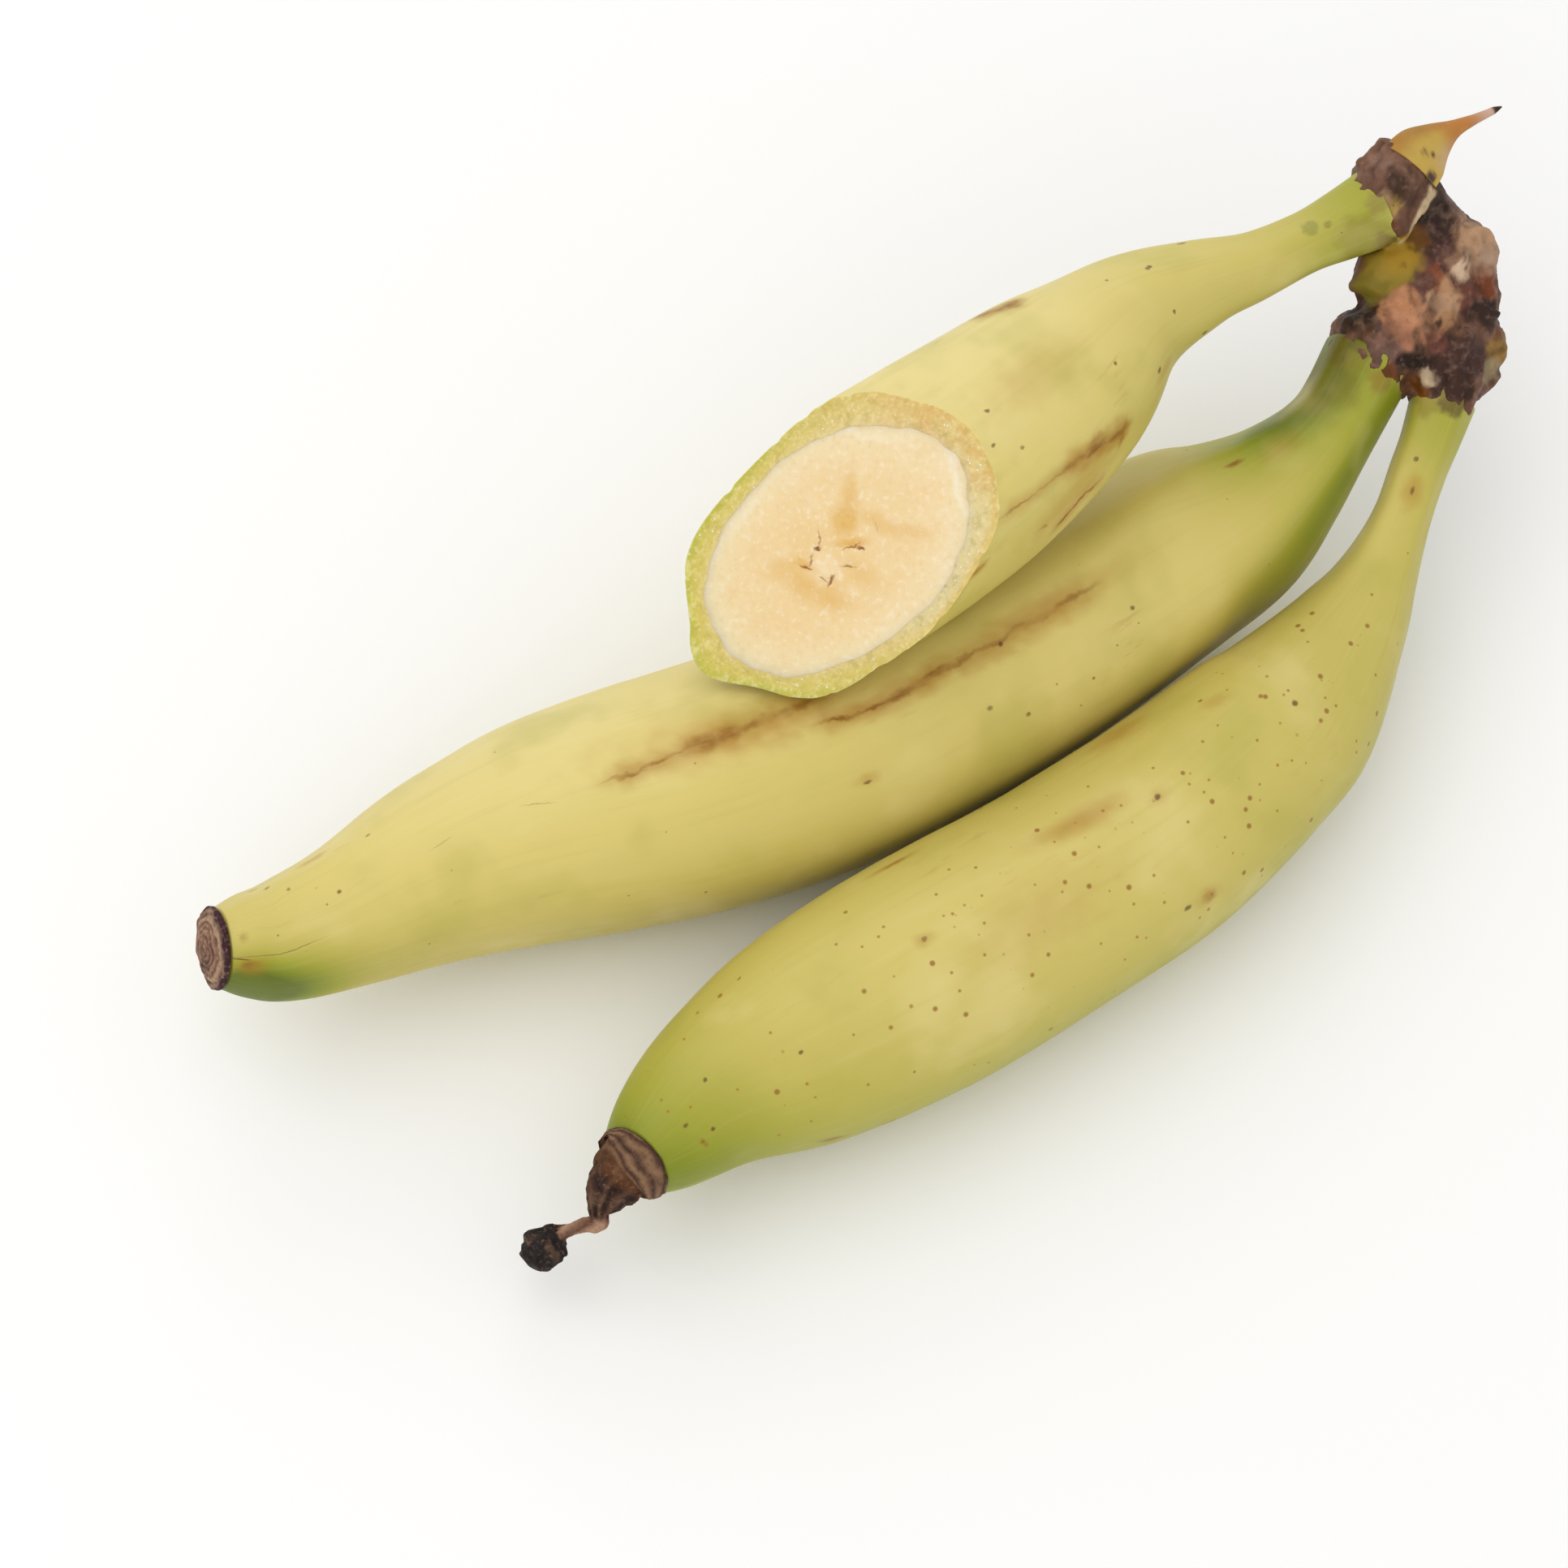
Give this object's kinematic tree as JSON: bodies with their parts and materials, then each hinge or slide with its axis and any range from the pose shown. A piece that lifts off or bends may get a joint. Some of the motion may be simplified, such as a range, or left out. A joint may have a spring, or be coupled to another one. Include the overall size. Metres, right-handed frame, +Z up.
{
  "type": "hand of green plantains with one fruit cut",
  "caption": "Green plantains joined at a dark crown and lying on their side, the upper fruit cut across on the slant to show peel and flesh.",
  "frame": {"origin": "centre of the hand's footprint, on the surface that it lies on", "axes": "+X along the fruits toward the crown, +Y toward the cut fruit's side, +Z up"},
  "size_m": [0.3203, 0.1313, 0.0978],
  "materials": {
    "green_skin": "waxy yellow-green fruit skin with brown freckles and streaks",
    "pale_peel": "waxy pale yellow-green peel, moist and grainy where it is cut",
    "flesh": "moist cream flesh with dark seed specks",
    "woody_crown": "dry, rough, dark purple-brown with pale cut patches",
    "dried_flower": "dry, wrinkled and dark brown",
    "torn_skin": "yellow skin drying to orange and black at its tip"
  },
  "bodies": {
    "root": {"crown": "woody_crown", "upper_fruit_peel": "pale_peel", "upper_fruit_flesh": "flesh", "middle_fruit": "green_skin", "lower_fruit": "green_skin", "middle_flower_scar": "dried_flower", "lower_flower_remnant": "dried_flower", "torn_skin_strip": "torn_skin"}
  },
  "joints": []
}
